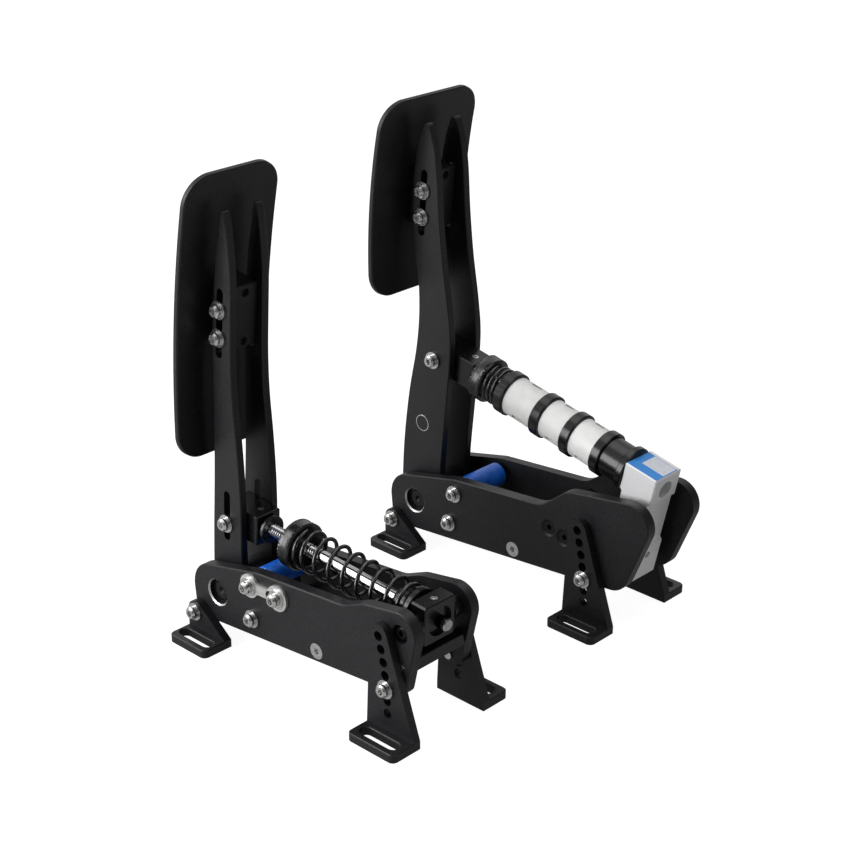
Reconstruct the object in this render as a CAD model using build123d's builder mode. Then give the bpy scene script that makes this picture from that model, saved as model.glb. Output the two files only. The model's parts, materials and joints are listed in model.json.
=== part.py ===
"""A sim racing pedal set: a throttle that presses a coil spring on a rod, and a brake that
presses a stack of elastomers against a load cell. Each pedal stands on its own base and feet.

Millimetres. +X is the way that the pedals are pressed, +Y runs from the throttle to the
brake, +Z is up. The origin is on the floor, under the middle of the set."""

from build123d import *
from math import asin, atan2, cos, degrees, hypot, pi, radians, sin, sqrt, tan
import os

os.makedirs("parts", exist_ok=True)

# The set and how its two bases stand
pedal_spacing = 197.5
origin_setback = 120.62
brake_lead = 1.1
foot_bolt_setback = 7.9
foot_bolt_height = 19.0
level_radius = 189.3
level_angle = 2.75
level_count = 7
level_in_use = 2

# Side plates of a base
frame_gap = 44.0
plate_thickness = 8.0
plate_margin = 6.0
plate_height = 44.3
plate_front_radius = 20.0
plate_bend_radius = 22.0
plate_edge_break = 0.8
front_top_share = 0.775
throttle_top_shares = ((0.338, 1.0), (0.782, 1.0), (0.888, 1.151), (1.156, 1.247))
throttle_heel_share = 1.051
throttle_rear_radius = 15.0
throttle_heel_radius = 8.0
brake_top_shares = ((0.338, 1.0), (0.782, 1.0), (0.912, 1.3675), (1.3476, 1.48))
brake_heel_share = 1.153
brake_rear_radius = 16.5
brake_heel_radius = 17.0

# Feet
front_foot_length = 38.0
rear_foot_length = 42.0
rear_foot_lead = 18.9
rear_foot_setback = level_radius - rear_foot_lead
foot_reach = 24.7
foot_thickness = 6.0
foot_top_radius = 7.8
foot_corner_radius = 4.2
foot_edge_break = 0.6
slot_width = 8.4
slot_length = 32.6
level_hole_d = 6.8

# Cap bolts, washers and countersunk screws
bolt_d = 6.0
bolt_head_d = 9.4
bolt_head_height = 4.4
bolt_head_bevel = 1.2
bolt_socket = 4.0
bolt_socket_depth = 2.4
head_edge_break = 0.5
washer_d = 13.0
washer_thickness = 1.5
bolt_play = 0.1
seat_play = 0.05
thread_depth = 10.0
bracket_thread_depth = 7.0
sunk_head_d = 11.5
black_recess_d = 13.2
black_screw_head_d = 10.6
small_screw_d = 3.0
small_screw_head_d = 5.0
small_socket = 2.0
cut_overrun = 1.0

# Axle, its bushes, and the heel block that limits a pedal's travel
axle_place = (19.7, 17.6)
axle_d = 14.3
axle_recess = 3.6
axle_end_break = 0.6
axle_dimple_d = 5.0
bush_d = 18.2
bush_flange_d = 21.0
bore_break = 1.1
running_play = 0.05
side_play = 0.3
heel_hub_d = 27.0
heel_overrun = 2.0
stop_place = (55.4, 8.0)
stop_pin_d = 8.0
bump_sleeve_d = 10.0
roller_play = 4.0
rest_gap = 0.3
throttle_bump_place = (57.2, 33.5)
throttle_bump_d = 17.0
throttle_travel = 12.0
brake_bump_place = (63.0, 33.0)
brake_bump_d = 18.0
brake_travel = 3.6
heel_screw_radius = 10.4
heel_screw_angles = (90, 210)

# Cross members between the side plates
tie_place = (118.0, 2.0)
tie_bar_d = 11.0
rear_bar_overhang = 10.7
rear_bar_rise = 16.0
rear_bar_place = (level_radius + rear_bar_overhang, rear_bar_rise)
rear_bar_depth = 10.0
rear_bar_height = 8.5

# Adjuster link on the outside of the throttle's near side plate
link_thickness = 2.0
link_far_place = (85.1, 31.8)
link_bump_radius = 8.6
link_far_radius = 9.3
link_waist = 7.5
link_blend_radius = 4.0
link_slot_length = 14.0

# Pedal arms: outlines as shares of their width and height, up the rear edge, round the tip
# and down the front edge; each bend takes up a share of its shorter side
bend_share = 0.48
arm_gap = 22.0
arm_thickness = 6.0
arm_edge_break = 0.6
arm_slot_width = 6.2
throttle_arm_width = 33.0
throttle_arm_height = 269.4
throttle_arm_shares = ((0.35, 0.094), (0.406, 0.25), (0.36, 0.4), (0.275, 0.52), (0.275, 0.624),
                       (0.345, 0.75), (0.4, 0.845), (0.375, 0.92), (0.335, 0.975), (0.295, 1.004),
                       (0.255, 1.0145), (0.2, 1.0145), (0.155, 1.0), (0.105, 0.962), (-0.01, 0.91),
                       (-0.165, 0.78), (-0.245, 0.68),
                       (-0.315, 0.48), (-0.4, 0.306), (-0.53, 0.126))
throttle_hub_radius = 16.5
throttle_hub_offset = -3.5
brake_arm_width = 40.4
brake_arm_height = 288.2
brake_arm_shares = ((0.36, 0.09), (0.47, 0.238), (0.59, 0.404), (0.603, 0.47), (0.525, 0.558),
                    (0.4, 0.655), (0.305, 0.775), (0.262, 0.883), (0.205, 0.945), (0.125, 0.985),
                    (0.06, 1.006), (0.015, 1.0105), (-0.035, 1.0105), (-0.085, 1.0), (-0.185, 0.963),
                    (-0.285, 0.903), (-0.34, 0.81),
                    (-0.315, 0.69), (-0.2, 0.6), (-0.185, 0.5), (-0.265, 0.405), (-0.45, 0.29),
                    (-0.6, 0.135))
brake_hub_radius = 20.2
brake_hub_offset = -6.7

# Slots in the arms: the places of their middles, their lengths and how far they lean
pad_slot_length = 49.8
throttle_pad_slot_drop = 74.0
throttle_pad_slot_place = (0.0, throttle_arm_height - throttle_pad_slot_drop)
throttle_pad_slot_lean = 5.4
throttle_pivot_slot_place = (-1.6, 54.0)
throttle_pivot_slot_length = 38.0
throttle_pivot_slot_lean = 3.5
brake_pad_slot_lead = 3.5
brake_pad_slot_drop = 56.0
brake_pad_slot_place = (-brake_pad_slot_lead, brake_arm_height - brake_pad_slot_drop)
brake_pad_slot_lean = 4.0
insert_place = (-4.1, 59.1)
insert_d = 13.0
insert_groove = 0.7
pad_bolt_spacing = 20.0
throttle_pad_bolt_rise = -0.1
brake_pad_bolt_rise = -0.4

# Pads and their brackets: a pad's middle leads the axle, a little above the middle of the arms' slots
pad_thickness = 4.5
pad_edge_break = 0.8
throttle_pad_lead = 19.5
throttle_pad_rise = 1.6
throttle_pad_place = (-throttle_pad_lead, throttle_pad_slot_place[1] + throttle_pad_rise)
throttle_pad_lean = 6.6
throttle_pad_bend_radius = 845.0
throttle_pad_width = 80.0
throttle_pad_height = 206.0
brake_pad_lead = 26.2
brake_pad_rise = 2.7
brake_pad_place = (-brake_pad_lead, brake_pad_slot_place[1] + brake_pad_rise)
brake_pad_lean = 5.45
brake_pad_bend_radius = 480.0
brake_pad_width = 98.5
brake_pad_height = 150.0
pad_corner_radius = 20.3
bracket_height = 45.6
bracket_screw_spacing = 35.3
bracket_edge_break = 0.8
throttle_bracket_rear = 24.9
throttle_bracket_rise = 2.8
brake_bracket_rear = 27.5
brake_bracket_rise = 0.7

# Rods: places of the front pivots from the axle, and what both rods carry
throttle_pivot_place = (-1.9, 48.4)
brake_pivot_place = (7.2, 113.6)
pivot_pin_d = 10.0
open_pivot_play = 0.45
rod_d = 8.8
rod_play = 0.1
rod_tip_break = 0.8
block_front = 11.0
block_height = 22.0
block_edge_break = 1.2
set_screw_d = 5.0
set_screw_depth = 5.0
set_screw_setback = 8.6
nut_d = 34.6
nut_length = 10.6
nut_edge_break = 1.0
spring_d = 29.8
spring_seat_play = 0.1

# Throttle rod: places along it are counted from its front pivot
rear_pivot_overhang = 10.1
rear_pivot_rise = 38.8
rear_pivot_place = (level_radius + rear_pivot_overhang, rear_pivot_rise)
throttle_block_rear = 23.6
collar_washer_d = 15.0
collar_washer_length = 1.8
collar_d = 20.0
collar_length = 3.0
throttle_nut_start = 50.3
throttle_wire_d = 2.8
throttle_spring_turns = 9.0
throttle_spring_ramp_turns = 1.8
throttle_spring_end_pitch = 3.4
seat_flange_d = 31.0
seat_flange_length = 4.0
seat_sleeve_d = 19.0
seat_sleeve_length = 14.5
seat_neck_d = 22.0
seat_neck_length = 3.6
rear_block_depth = 12.5
rear_block_width = 28.0
rear_block_height = 28.6
rear_bore_d = 21.0
rear_bore_depth = 3.0
rod_tip_reach = 7.5
trunnion_recess_d = 13.0
trunnion_recess_depth = 5.6
trunnion_ring_d = 14.0
trunnion_thread_depth = 8.5

# Throttle position sensor in the far end of the axle's bore
magnet_d = 6.0
magnet_length = 2.4
magnet_stand = 0.4
sensor_length = 2.2
sensor_gap = 0.5

# Brake rod: its slope below level, and places counted from its front pivot
brake_rod_slope = 12.3
brake_block_rear = 33.6
brake_nut_start = 35.2
brake_wire_d = 2.6
brake_spring_turns = 2.75
stack_start = 59.7
ring_d = 33.4
ring_edge_break = 0.7
ring_lengths = (8.2, 8.1, 7.7, 7.5)
elastomer_d = 29.6
elastomer_lengths = (26.8, 20.6, 20.6)
stack_play = 0.05
seat_bush_d = 29.2
seat_bush_length = 16.3
seat_groove_d = 28.2
seat_groove_width = 0.8
seat_disc_d = 33.8
seat_disc_length = 5.2
seat_tilt_gap = 0.2
brake_rod_reach = 8.0

# Load cell, along and across the brake rod's line
cell_depth = 27.5
cell_width = 28.7
cell_top = 12.3
cell_length = 88.3
cell_edge_break = 0.8
cell_bore_d = 13.4
cell_waist_top = 20.5
cell_waist_length = 40.0
cell_waist_recess = 2.5
cell_window_d = 15.0
cell_window_drop = 31.5
cell_window_spacing = 17.0
cell_bolt_drop = 68.4
cell_bolt_bore = 5.5
cell_mount_drop = 73.8
cell_mount_height = 22.0
cell_mount_length = 46.0
mount_screw_setback = 24.6
mount_screw_spacing = 14.5


def keep(piece, label):
    """Label a finished piece and write it under its own name."""
    piece.part.label = label
    export_step(piece.part, f"parts/{label}.step")


def keep_pair(near_piece, label, frame):
    """Keep a near piece and its mirror image on the far side of the pedal."""
    keep(near_piece, f"{label}_near")
    with BuildPart() as far_piece:
        mirror(near_piece.part, about=frame)
    keep(far_piece, f"{label}_far")


def upright_plane(origin, slope=0.0):
    """A plane along a pedal's middle: x leads rearwards, rising by slope, and y leads up."""
    return Plane(origin=origin, x_dir=(cos(radians(slope)), 0, sin(radians(slope))), z_dir=(0, -1, 0))


def seat(frame, place, depth):
    """A plane that faces outwards on a pedal's side: near if depth is positive, else far."""
    facing = frame.z_dir if depth > 0 else -frame.z_dir
    return Plane(frame.from_local_coords((*place, depth)), x_dir=frame.x_dir, z_dir=facing)


def along(frame, place, rise=0.0):
    """A plane square to a rod's line, facing rearwards with y up, at a place counted along the rod."""
    return Plane(frame.from_local_coords((place, rise, 0)), x_dir=-frame.z_dir, z_dir=frame.x_dir)


def polar(radius, angle):
    """A point at a radius and an angle in degrees."""
    return (radius * cos(radians(angle)), radius * sin(radians(angle)))


def on_slot(place, lean, rise):
    """A point on a leaning slot's middle line, rise up it from the slot's middle."""
    return (place[0] + rise * sin(radians(lean)), place[1] + rise * cos(radians(lean)))


def turned(face, start, end, outer_d, bore_d=0.0, edge=0.0, mode=Mode.ADD):
    """A disc, rod or ring square to a face, from start to end in front of it."""
    half_section = Plane(face.origin, x_dir=face.x_dir, z_dir=-face.y_dir)
    with BuildSketch(half_section) as section:
        with Locations(((outer_d + bore_d) / 4, (start + end) / 2)):
            Rectangle((outer_d - bore_d) / 2, end - start)
        if edge:
            chamfer(section.vertices().group_by(Axis.X)[-1], edge)
    revolve(section.sketch, axis=Axis(face.origin, face.z_dir), mode=mode)


def socket(face, across_flats, depth):
    """A hexagon socket sunk into a screw's head."""
    with BuildSketch(face) as hexagon:
        RegularPolygon(across_flats / 2, 6, major_radius=False)
    extrude(hexagon.sketch, amount=-depth, mode=Mode.SUBTRACT)


def bolt(face, grip):
    """A cap bolt on its washer, with its shank grip deep below the face."""
    turned(face, seat_play, seat_play + washer_thickness, washer_d, bolt_d + 2 * bolt_play)
    head = washer_thickness + 2 * seat_play
    turned(face, -grip, head, bolt_d)
    bolt_head(face.offset(head))


def bolt_head(face):
    """A socket head that stands on a face, with a bevelled rim."""
    half_section = Plane(face.origin, x_dir=face.x_dir, z_dir=-face.y_dir)
    with BuildSketch(half_section) as section:
        with BuildLine():
            Polyline((0, 0), (bolt_head_d / 2, 0), (bolt_head_d / 2, bolt_head_height - bolt_head_bevel),
                     (bolt_head_d / 2 - bolt_head_bevel, bolt_head_height), (0, bolt_head_height), close=True)
        make_face()
    revolve(section.sketch, axis=Axis(face.origin, face.z_dir))
    socket(face.offset(bolt_head_height), bolt_socket, bolt_socket_depth)


def sunk_screw(face, head_d, shank_d, grip, across_flats):
    """A countersunk screw with its head flush with the face."""
    half_section = Plane(face.origin, x_dir=face.x_dir, z_dir=-face.y_dir)
    cone = (head_d - shank_d) / 2
    with BuildSketch(half_section) as section:
        with BuildLine():
            Polyline((0, 0), (head_d / 2, 0), (shank_d / 2, -cone), (shank_d / 2, -grip), (0, -grip), close=True)
        make_face()
    revolve(section.sketch, axis=Axis(face.origin, face.z_dir))
    socket(face, across_flats, cone)


def sunk_hole(face, head_d, shank_d):
    """A countersunk hole that takes such a screw."""
    with Locations(face):
        CounterSinkHole(shank_d / 2 + bolt_play, head_d / 2 + bolt_play, counter_sink_angle=90)


def plain_hole(face, diameter):
    """A hole right through a piece."""
    with Locations(face):
        Hole(diameter / 2)


# Side plates

plate_outside = frame_gap / 2 + plate_thickness
foot_outside = plate_outside + foot_thickness
arm_outside = arm_gap / 2 + arm_thickness
bolt_hole_d = bolt_d + 2 * bolt_play
base_tilt = level_in_use * level_angle


def build_side_plates(name, base, top_shares, rear_radius, heel_share, heel_radius, holes, sunk_holes):
    corners = [(-plate_margin, -plate_margin), (-plate_margin, front_top_share * plate_height)]
    corners += [(u * level_radius, v * plate_height) for u, v in top_shares]
    corners += [(heel_share * level_radius, -plate_margin)]
    bends = [plate_bend_radius] * (len(top_shares) - 1)
    with BuildPart() as plate:
        with BuildSketch(base.offset(frame_gap / 2)):
            with BuildLine():
                FilletPolyline(corners, close=True,
                               radius=[plate_margin, plate_front_radius, *bends, rear_radius, heel_radius])
            make_face()
        extrude(amount=plate_thickness)
        chamfer(plate.faces().sort_by(Axis.Y)[0].edges(), plate_edge_break)
        for place in [(0, 0), (level_radius, 0), stop_place, *holes]:
            plain_hole(seat(base, place, plate_outside), bolt_hole_d)
        with Locations(seat(base, axle_place, plate_outside)):
            CounterSinkHole(bush_d / 2, bush_d / 2 + bore_break, counter_sink_angle=90)
        for place, head_d, shank_d in sunk_holes:
            sunk_hole(seat(base, place, plate_outside), head_d, shank_d)
        if name == "throttle":
            with Locations(seat(base, rear_pivot_place, plate_outside)):
                CounterBoreHole(bolt_hole_d / 2, trunnion_recess_d / 2, trunnion_recess_depth)
    keep_pair(plate, f"{name}_side_plate", base)


# Feet

def build_foot(name, base, setback, length, hole_count):
    level = upright_plane(base.origin)
    top = polar(level_radius, level_angle * (hole_count - 1)) if hole_count > 1 else (0, 0)
    floor = Plane(level.from_local_coords((setback, -foot_bolt_height, plate_outside)))
    with BuildPart() as foot:
        with BuildSketch(floor) as sole:
            with Locations((length / 2, -foot_reach / 2)):
                Rectangle(length, foot_reach)
            fillet(sole.vertices().group_by(Axis.Y)[0], foot_corner_radius)
            with Locations((length / 2, -(foot_thickness + foot_reach) / 2)):
                SlotOverall(slot_length, slot_width, mode=Mode.SUBTRACT)
        extrude(amount=foot_thickness)
        chamfer(foot.faces().sort_by(Axis.Z)[-1].edges(), foot_edge_break)
        with BuildSketch(level.offset(plate_outside)):
            with BuildLine():
                CenterArc(top, foot_top_radius, 0, 360)
                Polyline((setback, foot_thickness - foot_bolt_height), (setback, -foot_bolt_height),
                         (setback + length, -foot_bolt_height),
                         (setback + length, foot_thickness - foot_bolt_height))
            make_hull()
        extrude(amount=foot_thickness)
        if hole_count > 1:
            with Locations(seat(level, (0, 0), foot_outside)):
                with PolarLocations(level_radius, hole_count, 0, level_angle * (hole_count - 1), endpoint=True):
                    Hole(level_hole_d / 2)
        else:
            plain_hole(seat(level, (0, 0), foot_outside), level_hole_d)
    keep_pair(foot, f"{name}_foot", base)


def build_foot_fasteners(name, base):
    with BuildPart() as bolts:
        for place in [(0, 0), (level_radius, 0)]:
            for depth in (foot_outside, -foot_outside):
                bolt(seat(base, place, depth), foot_thickness + plate_thickness + washer_thickness)
    keep(bolts, f"{name}_foot_fasteners")


# Cross members, bolts and bushes of a base

def build_spacers(name, base, bump_place, others):
    """Threaded pins across the base: the bump stop's sleeve, the travel stop and the tie bar."""
    with BuildPart() as spacers:
        for place, pin_d, screw_d in [(bump_place, bump_sleeve_d, bolt_d), (stop_place, stop_pin_d, bolt_d),
                                      (tie_place, tie_bar_d, bolt_d)]:
            face = seat(base, place, frame_gap / 2)
            turned(face, -frame_gap, 0, pin_d)
            turned(face, -thread_depth - cut_overrun, 0, screw_d + 2 * bolt_play, mode=Mode.SUBTRACT)
            turned(face, -frame_gap, thread_depth + cut_overrun - frame_gap, screw_d + 2 * bolt_play,
                   mode=Mode.SUBTRACT)
        if others:
            others()
    keep(spacers, f"{name}_frame_spacers")


def throttle_cross_pieces():
    """The bar at the rear of the throttle's base, and the rings beside its rear block."""
    with BuildSketch(throttle_base.offset(-frame_gap / 2)) as section:
        with Locations(rear_bar_place):
            RectangleRounded(rear_bar_depth, rear_bar_height, pad_edge_break)
    extrude(section.sketch, amount=frame_gap)
    for depth in (frame_gap / 2, -frame_gap / 2):
        bar_face = seat(throttle_base, rear_bar_place, depth)
        turned(bar_face, -thread_depth, 0, small_screw_d + 2 * bolt_play, mode=Mode.SUBTRACT)
        ring_face = seat(throttle_base, rear_pivot_place, depth)
        turned(ring_face, (rear_block_width - frame_gap) / 2, 0, trunnion_ring_d, bolt_hole_d)


def build_roller(name, base, bump_place, bump_d):
    face = seat(base, bump_place, frame_gap / 2)
    with BuildPart() as roller:
        turned(face, roller_play - frame_gap, -roller_play, bump_d, bump_sleeve_d + 2 * bolt_play, head_edge_break)
    keep(roller, f"{name}_bump_roller")


def build_bushes(name, base):
    with BuildPart() as bushes:
        for depth in (frame_gap / 2, -frame_gap / 2):
            face = seat(base, axle_place, depth)
            turned(face, 0, plate_thickness - axle_recess, bush_d, axle_d + 2 * running_play)
            turned(face, side_play + arm_outside - frame_gap / 2, 0, bush_flange_d, axle_d + 2 * running_play)
    keep(bushes, f"{name}_axle_bushes")


def build_axle(name, base, magnet_pocket):
    face = seat(base, axle_place, plate_outside - axle_recess)
    far_face = seat(base, axle_place, axle_recess - plate_outside)
    length = 2 * (plate_outside - axle_recess)
    with BuildPart() as axle:
        turned(face, -length, 0, axle_d, edge=axle_end_break)
        with Locations(face, far_face):
            CounterSinkHole(axle_end_break, axle_dimple_d / 2, depth=axle_dimple_d / 2, counter_sink_angle=90)
        if magnet_pocket:
            turned(far_face, magnet_stand - magnet_length, 0, magnet_d + 2 * bolt_play, mode=Mode.SUBTRACT)
    keep(axle, f"{name}_axle")


def heel_angles(bump_place, bump_d, travel):
    """The angles of the heel's two faces, and how far it reaches, so that it starts just under
    the bump roller and ends just over the travel stop."""
    bump = (bump_place[0] - axle_place[0], bump_place[1] - axle_place[1])
    stop = (stop_place[0] - axle_place[0], stop_place[1] - axle_place[1])
    bump_clearance = bump_d / 2 + rest_gap
    stop_clearance = stop_pin_d / 2 + rest_gap
    upper = degrees(atan2(bump[1], bump[0]) - asin(bump_clearance / hypot(*bump)))
    lower = degrees(atan2(stop[1], stop[0]) + asin(stop_clearance / hypot(*stop))) + travel
    reach = sqrt(hypot(*bump) ** 2 - bump_clearance ** 2) + heel_overrun
    return upper, lower, reach


def heel_screw_places():
    return [polar(heel_screw_radius, angle) for angle in heel_screw_angles]


def build_heel(name, heel_frame, bump_place, bump_d, travel):
    upper, lower, reach = heel_angles(bump_place, bump_d, travel)
    with BuildPart() as heel:
        with BuildSketch(heel_frame.offset(-arm_gap / 2)):
            Circle(heel_hub_d / 2)
            with BuildLine():
                Polyline((0, 0), polar(reach, lower), polar(reach, upper), close=True)
            make_face()
            Circle(axle_d / 2 + bolt_play, mode=Mode.SUBTRACT)
        extrude(amount=arm_gap)
        for place in heel_screw_places():
            plain_hole(seat(heel_frame, place, arm_gap / 2), small_screw_d + 2 * bolt_play)
    keep(heel, f"{name}_heel_block")


# Arms

def widest_bends(corners):
    """A radius for each corner of a closed outline, so wide that its bend takes bend_share of the
    shorter side beside it."""
    radii = []
    for before, corner, after in zip([corners[-1], *corners], corners, [*corners[1:], corners[0]]):
        arriving, leaving = Vector(*corner) - Vector(*before), Vector(*after) - Vector(*corner)
        turn = radians(arriving.get_angle(leaving))
        radii.append(bend_share * min(arriving.length, leaving.length) / tan(turn / 2))
    return radii


def build_arms(name, arm_frame, heel_frame, width, height, outline_shares, hub_radius, hub_offset,
               slots, holes, inserts):
    outline = [(x * width, z * height) for x, z in outline_shares]
    corners = [(hub_offset + hub_radius, -hub_radius), *outline, (hub_offset - hub_radius, -hub_radius)]
    with BuildPart() as arm:
        with BuildSketch(arm_frame.offset(arm_gap / 2)):
            with BuildLine():
                FilletPolyline(corners, close=True, radius=widest_bends(corners))
            make_face()
            for place, length, lean in slots:
                with Locations(place):
                    SlotOverall(length, arm_slot_width, rotation=90 - lean, mode=Mode.SUBTRACT)
        extrude(amount=arm_thickness)
        for face in (arm.faces().sort_by(Axis.Y)[0], arm.faces().sort_by(Axis.Y)[-1]):
            chamfer(face.outer_wire().edges(), arm_edge_break)
        plain_hole(seat(arm_frame, (0, 0), arm_outside), axle_d + 2 * bolt_play)
        for place in holes:
            plain_hole(seat(arm_frame, place, arm_outside), bolt_hole_d)
        for place in heel_screw_places():
            sunk_hole(seat(heel_frame, place, arm_outside), small_screw_head_d, small_screw_d)
        for place in inserts:
            turned(seat(arm_frame, place, arm_outside), -insert_groove, cut_overrun, insert_d,
                   insert_d - 2 * insert_groove, mode=Mode.SUBTRACT)
    keep_pair(arm, f"{name}_arm", arm_frame)


def build_arm_fasteners(name, arm_frame, heel_frame, pad_frame, bolt_places, pivot_place, rise, rear):
    """The rod's pivot pin, the bolts through the arms into it and the bracket, and the pad's screws."""
    with BuildPart() as fasteners:
        turned(seat(arm_frame, pivot_place, arm_gap / 2), -arm_gap, 0, pivot_pin_d, bolt_hole_d)
        for depth in (arm_outside, -arm_outside):
            for place in bolt_places:
                bolt(seat(arm_frame, place, depth), arm_thickness + bracket_thread_depth)
            bolt(seat(arm_frame, pivot_place, depth), arm_thickness + thread_depth)
            for place in heel_screw_places():
                sunk_screw(seat(heel_frame, place, depth), small_screw_head_d, small_screw_d,
                           arm_thickness + thread_depth, small_socket)
        for screw_face in pad_screw_faces(pad_frame, rise):
            sunk_screw(screw_face, sunk_head_d, bolt_d, rear - thread_depth / 2, bolt_socket)
    keep(fasteners, f"{name}_arm_fasteners")


# Pads and brackets

def pad_screw_faces(pad_frame, rise):
    """Planes under the heads of the two screws in a pad's front, a little below its skin."""
    return [Plane(pad_frame.from_local_coords((pad_edge_break, rise + step * bracket_screw_spacing / 2, 0)),
                  x_dir=pad_frame.z_dir, z_dir=-pad_frame.x_dir) for step in (-1, 1)]


def build_pad(name, pad_frame, width, height, bend_radius, rise):
    reach = degrees(height / 2 / bend_radius)
    with BuildPart() as pad:
        with BuildSketch(pad_frame):
            with BuildLine():
                front = CenterArc((bend_radius, 0), bend_radius, 180 - reach, 2 * reach)
                back = CenterArc((bend_radius, 0), bend_radius - pad_thickness, 180 - reach, 2 * reach)
                Line(front @ 0, back @ 0)
                Line(front @ 1, back @ 1)
            make_face()
        extrude(amount=width / 2, both=True)
        fillet(pad.edges().group_by(SortBy.LENGTH)[0], pad_corner_radius)
        skins = pad.faces().group_by(SortBy.AREA)[-1] + pad.faces().group_by(SortBy.AREA)[-2]
        chamfer(skins.edges(), pad_edge_break)
        for screw_face in pad_screw_faces(pad_frame, rise):
            sunk_hole(screw_face, sunk_head_d, bolt_d)
            turned(screw_face, 0, cut_overrun + pad_edge_break, sunk_head_d + 2 * bolt_play, mode=Mode.SUBTRACT)
    keep(pad, f"{name}_pad")


def build_bracket(name, arm_frame, pad_frame, bend_radius, rear, rise, bolt_places):
    half_reach = abs(rise) + bracket_height / 2
    front = pad_thickness + bend_radius - sqrt(bend_radius ** 2 - half_reach ** 2)
    with BuildPart() as bracket:
        with BuildSketch(pad_frame.offset(-arm_gap / 2)):
            with Locations(((front + rear) / 2, rise)):
                Rectangle(rear - front, bracket_height)
        extrude(amount=arm_gap)
        chamfer(bracket.faces().sort_by(Axis(pad_frame.origin, pad_frame.x_dir))[-1].edges(), bracket_edge_break)
        for screw_face in pad_screw_faces(pad_frame, rise):
            plain_hole(screw_face, bolt_hole_d)
        for place in bolt_places:
            plain_hole(seat(arm_frame, place, arm_gap / 2), bolt_hole_d)
    keep(bracket, f"{name}_pad_bracket")


# What both rods carry

def build_front_block(name, rod_frame, rear):
    width = arm_gap - 2 * side_play
    with BuildPart() as block:
        with BuildSketch(rod_frame.offset(-width / 2)):
            with Locations(((rear - block_front) / 2, 0)):
                RectangleRounded(rear + block_front, block_height, block_edge_break)
        extrude(amount=width)
        chamfer(block.faces().sort_by(Axis(rod_frame.origin, rod_frame.x_dir))[-1].edges(), block_edge_break / 2)
        plain_hole(seat(rod_frame, (0, 0), width / 2), pivot_pin_d + 2 * open_pivot_play)
        rod_hole = pivot_pin_d / 2 + open_pivot_play
        turned(along(rod_frame, 0), rod_hole, rear + cut_overrun, rod_d + 2 * bolt_play, mode=Mode.SUBTRACT)
        top = Plane(rod_frame.from_local_coords((rear - set_screw_setback, block_height / 2, 0)),
                    x_dir=rod_frame.x_dir, z_dir=rod_frame.y_dir)
        turned(top, -set_screw_depth, cut_overrun, set_screw_d, mode=Mode.SUBTRACT)
    keep(block, f"{name}_front_block")


def build_rod(name, rod_frame, tip, shoulder_start=0.0):
    start = pivot_pin_d / 2 + open_pivot_play + rod_play
    with BuildPart() as rod:
        turned(along(rod_frame, 0), start, tip, rod_d, edge=rod_tip_break)
        if shoulder_start:
            turned(along(rod_frame, shoulder_start), 0, collar_washer_length, collar_washer_d, edge=head_edge_break)
    keep(rod, f"{name}_rod")


def build_nuts(name, rod_frame, nut_start, collar_start=0.0):
    bore_d = rod_d + 2 * rod_play
    with BuildPart() as nuts:
        turned(along(rod_frame, nut_start), 0, nut_length, nut_d, bore_d, nut_edge_break)
        if collar_start:
            turned(along(rod_frame, collar_start), 0, collar_length, collar_d, bore_d, head_edge_break)
    keep(nuts, f"{name}_rod_nuts")


def build_spring(name, rod_frame, start, end, wire_d, turns, ramp_turns, end_pitch):
    """A coil spring between two seats, its pitch growing over the ramp turns at each end."""
    first, last = start + spring_seat_play + wire_d / 2, end - spring_seat_play - wire_d / 2
    mean_radius = (spring_d - wire_d) / 2
    pitch = (last - first - ramp_turns * end_pitch) / (turns - ramp_turns)

    def pitch_at(turn):
        ramp = min(turn, turns - turn, ramp_turns) / ramp_turns if ramp_turns else 1
        return end_pitch + (pitch - end_pitch) * ramp

    def place_at(turn):
        if turn > turns / 2:
            return first + last - place_at(turns - turn)
        level_turns = max(turn - ramp_turns, 0)
        return first + (turn - level_turns) * (end_pitch + pitch_at(turn)) / 2 + level_turns * pitch

    def point_at(turn):
        return rod_frame.from_local_coords((place_at(turn), *polar(mean_radius, 360 * turn)))

    def direction_at(turn):
        across = polar(2 * pi * mean_radius, 360 * turn + 90)
        ahead = rod_frame.from_local_coords((pitch_at(turn), *across)) - rod_frame.origin
        return Vector(ahead).normalized()

    quarters = round(4 * turns)
    with BuildPart() as spring:
        with BuildLine() as path:
            for quarter in range(quarters):
                here, there = quarter / 4, (quarter + 1) / 4
                leave, arrive = direction_at(here), direction_at(there)
                chord = Vector(point_at(there)) - Vector(point_at(here))
                both = chord.dot(leave + arrive)
                spread = 2 * (1 - leave.dot(arrive))
                reach = (sqrt(both ** 2 + spread * chord.dot(chord)) - both) / spread
                handle_out = Vector(point_at(here)) + leave * reach
                handle_in = Vector(point_at(there)) - arrive * reach
                middle = (handle_out + handle_in) * 0.5
                TangentArc(point_at(here), middle, tangent=leave)
                TangentArc(middle, point_at(there), tangent=handle_in - handle_out)
        with BuildSketch(Plane(point_at(0), z_dir=direction_at(0))) as wire:
            Circle(wire_d / 2)
        sweep(wire.sketch, path=path.wires()[0])
    keep(spring, f"{name}_spring")

    samples = [point_at(step / 24) for step in range(round(24 * turns) + 1)]
    least = min((Vector(a) - Vector(b)).length for i, a in enumerate(samples) for b in samples[i + 12:])
    expected = pi * wire_d ** 2 / 4 * path.wires()[0].length
    print(f"{name} spring: least gap to itself {least - wire_d:.2f} mm, "
          f"volume {spring.part.volume:.0f} of {expected:.0f} mm3")


# Throttle only

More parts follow.
